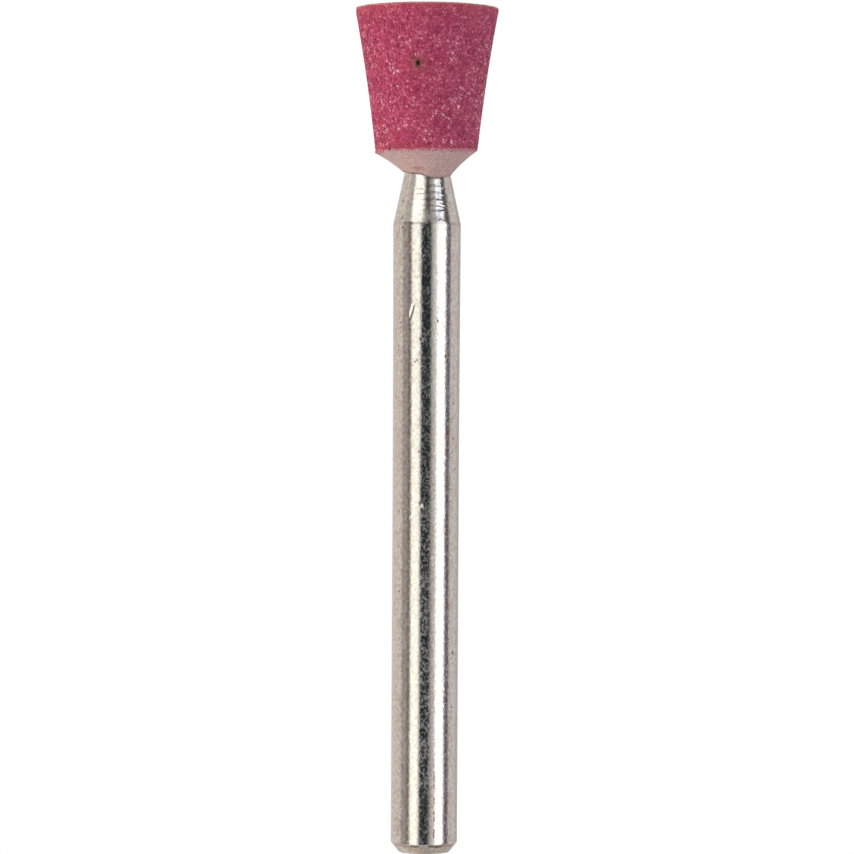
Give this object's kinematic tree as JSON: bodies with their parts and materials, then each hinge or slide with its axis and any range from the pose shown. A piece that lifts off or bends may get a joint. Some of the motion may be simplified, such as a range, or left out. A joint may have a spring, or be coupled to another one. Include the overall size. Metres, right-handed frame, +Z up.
{
  "type": "mounted point",
  "caption": "Small mounted grinding point: an inverted cone of pink abrasive cemented on the tapered neck of a slim steel shank.",
  "frame": {"origin": "centre of the flat abrasive face that the point stands on, on its axis", "axes": "+Z up the axis from the head to the shank's end; +Y away from the viewer. The picture shows the point the other way up, with its head at the top"},
  "size_m": [0.0068, 0.0068, 0.0404],
  "materials": {
    "bright_steel": "satin",
    "pale_cement": "matte",
    "pink_abrasive": "matte"
  },
  "bodies": {
    "root": {"shank": "bright_steel", "cement_collar": "pale_cement", "grinding_head": "pink_abrasive"}
  },
  "joints": []
}
